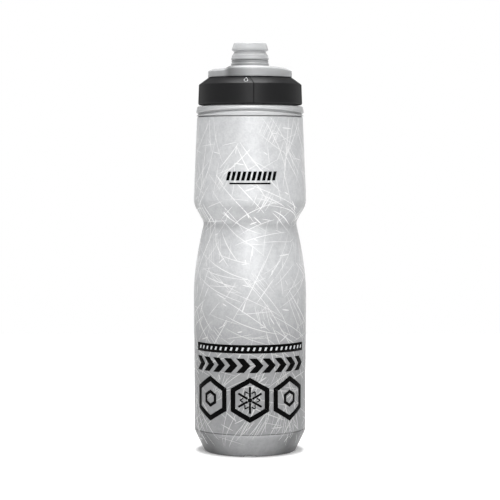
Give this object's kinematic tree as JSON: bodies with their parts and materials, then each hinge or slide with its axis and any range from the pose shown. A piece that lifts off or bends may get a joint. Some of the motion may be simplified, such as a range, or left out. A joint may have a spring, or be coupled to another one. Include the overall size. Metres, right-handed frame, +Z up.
{
  "type": "insulated cycling bottle",
  "caption": "Double-walled squeeze bottle with a waisted grip, a screw cap, a turning lock-out dial and a soft mouthpiece.",
  "frame": {"origin": "centre of the foot ring, on the surface that the bottle stands on", "axes": "+Z up along the bottle's axis, the printed front faces -Y, +X to the right of the front"},
  "size_m": [0.0734, 0.0734, 0.2657],
  "materials": {
    "pearl_shell": "satin",
    "pearl_base": "satin",
    "natural_plastic": "satin",
    "insulation_sheet": "matte",
    "seal_silicone": "matte",
    "black_cap_plastic": "satin",
    "smoke_plastic": "satin",
    "o_ring_rubber": "matte",
    "clear_silicone": "satin"
  },
  "bodies": {
    "bottle": {"outer_shell": "pearl_shell", "base_cup": "pearl_base", "inner_bottle": "natural_plastic", "upper_insulation_wrap": "insulation_sheet", "lower_insulation_wrap": "insulation_sheet", "base_insulation_disc": "insulation_sheet"},
    "cap_carriage": {"cap_gasket": "seal_silicone"},
    "cap": {"cap_shell": "black_cap_plastic"},
    "dial": {"valve_dial": "smoke_plastic", "dial_o_ring": "o_ring_rubber"},
    "mouthpiece": {"mouthpiece": "clear_silicone"}
  },
  "joints": [
    {"name": "cap_rise", "type": "slide", "parent": "bottle", "child": "cap_carriage", "axis": [0, 0, 1], "range_m": [0, 0.01]},
    {"name": "cap_unscrew", "type": "hinge", "parent": "cap_carriage", "child": "cap", "pos_m": [0, 0, 0.2365], "axis": [0, 0, 1], "range_deg": [0, 720]},
    {"name": "dial_turn", "type": "hinge", "parent": "cap", "child": "dial", "pos_m": [0, 0, 0.244], "axis": [0, 0, 1], "range_deg": [0, 90]},
    {"name": "mouthpiece_pull", "type": "slide", "parent": "dial", "child": "mouthpiece", "axis": [0, 0, 1], "range_m": [0, 0.0024]}
  ],
  "couplings": [
    {"joint": "cap_unscrew", "follows": "cap_rise", "rad_per_m": 1256.6}
  ]
}
